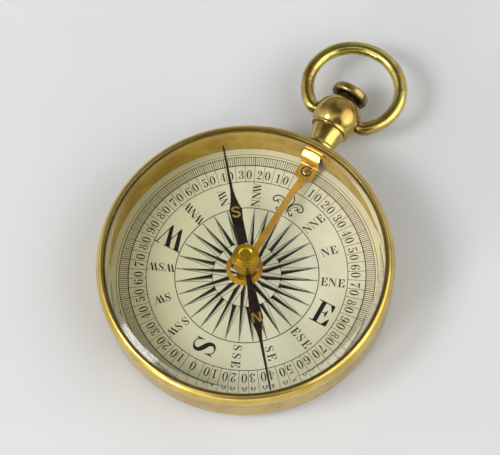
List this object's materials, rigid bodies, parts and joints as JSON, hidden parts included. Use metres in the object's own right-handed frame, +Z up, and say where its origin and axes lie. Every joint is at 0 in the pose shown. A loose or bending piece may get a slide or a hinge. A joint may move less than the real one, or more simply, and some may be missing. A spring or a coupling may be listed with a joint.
{
  "type": "pocket magnetic compass",
  "caption": "Round brass pocket compass with a printed paper dial, lifted needle, push button in the pendant and a swinging bow.",
  "frame": {"origin": "centre of the flat back of the case", "axes": "+Z up through the dial; +Y from the dial's centre to its north mark and out along the pendant"},
  "size_m": [0.0494, 0.0715, 0.0121],
  "materials": {
    "bright_brass": "polished, golden, with fine turning lines",
    "aged_brass": "polished but browned with age",
    "gilt": "orange-gold lacquered brass",
    "blued_steel": "blued almost to black-brown",
    "bright_steel": "satin",
    "paper": "matt, pale cream-green, printed in black",
    "agate": "polished",
    "glass": "clear, bevelled at the edge"
  },
  "bodies": {
    "case": {"case_body": "bright_brass", "dial_plate": "bright_brass", "dial_card": "paper", "spacer_ring": "bright_brass", "crystal": "glass", "bezel": "bright_brass", "pivot_post": "bright_brass", "pivot_pin": "bright_steel", "lever_stud": "bright_brass", "lever_washer": "bright_brass", "pendant_neck": "aged_brass", "pendant_ball": "aged_brass", "return_spring": "bright_steel"},
    "button": {"push_button": "aged_brass", "push_rod": "bright_steel", "rod_collar": "aged_brass"},
    "lever": {"lifting_lever": "gilt"},
    "needle": {"needle_blade": "blued_steel", "needle_cap": "gilt", "needle_collar": "gilt", "cap_jewel": "agate"},
    "bow": {"bow": "aged_brass"}
  },
  "joints": [
    {"name": "button_press", "type": "slide", "parent": "case", "child": "button", "axis": [0, -1, 0], "range_m": [0, 0.0004], "stiffness_N_per_m": 150, "springref_m": -0.003},
    {"name": "lever_rock", "type": "hinge", "parent": "case", "child": "lever", "pos_m": [0, 0.0208, 0.0029], "axis": [1, 0, 0], "range_deg": [0, 3.3]},
    {"name": "needle_spin", "type": "hinge", "parent": "lever", "child": "needle", "pos_m": [0, 0.0002, 0.00689], "axis": [0, 0.0576, 0.9983], "continuous": true},
    {"name": "bow_swing", "type": "hinge", "parent": "case", "child": "bow", "pos_m": [0, 0.0318, 0.0045], "axis": [1, 0, 0], "range_deg": [-148, 139]}
  ],
  "couplings": [
    {"joint": "lever_rock", "follows": "button_press", "rad_per_m": 143.98}
  ]
}
